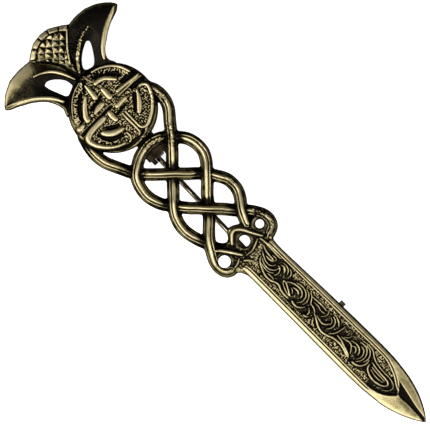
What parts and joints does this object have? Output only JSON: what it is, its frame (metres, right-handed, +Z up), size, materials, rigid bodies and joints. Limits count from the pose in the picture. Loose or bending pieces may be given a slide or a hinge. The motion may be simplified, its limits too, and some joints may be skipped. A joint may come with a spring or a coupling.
{
  "type": "kilt pin",
  "caption": "Antique brass kilt pin shaped as a dirk with a thistle head, a round knot boss, an openwork plait and a blade with scroll foliage; steel pin with a safety catch behind.",
  "frame": {"origin": "centre of the brooch's outline seen from the front, on the surface that it lies on", "axes": "+X towards the blade's point, +Y across the brooch (the picture's upper right), +Z up out of the brooch's front"},
  "size_m": [0.1001, 0.0282, 0.0101],
  "materials": {
    "antique_brass": "satin",
    "dark_brass": "satin",
    "steel": "satin"
  },
  "bodies": {
    "brooch": {"cast_body": "antique_brass", "hinge_bracket": "dark_brass", "hinge_rivet": "dark_brass", "catch_housing": "dark_brass"},
    "stem": {"pin_stem": "steel"},
    "rotor": {"catch_rotor": "antique_brass"}
  },
  "joints": [
    {"name": "stem_swing", "type": "hinge", "parent": "brooch", "child": "stem", "pos_m": [-0.02015, 0.00005, 0.0019], "axis": [0.0262, 0.9997, 0], "range_deg": [0, 100]},
    {"name": "catch_turn", "type": "hinge", "parent": "brooch", "child": "rotor", "pos_m": [0.02464, -0.00162, 0.0019], "axis": [-0.9997, 0.0262, 0], "range_deg": [0, 90]}
  ]
}
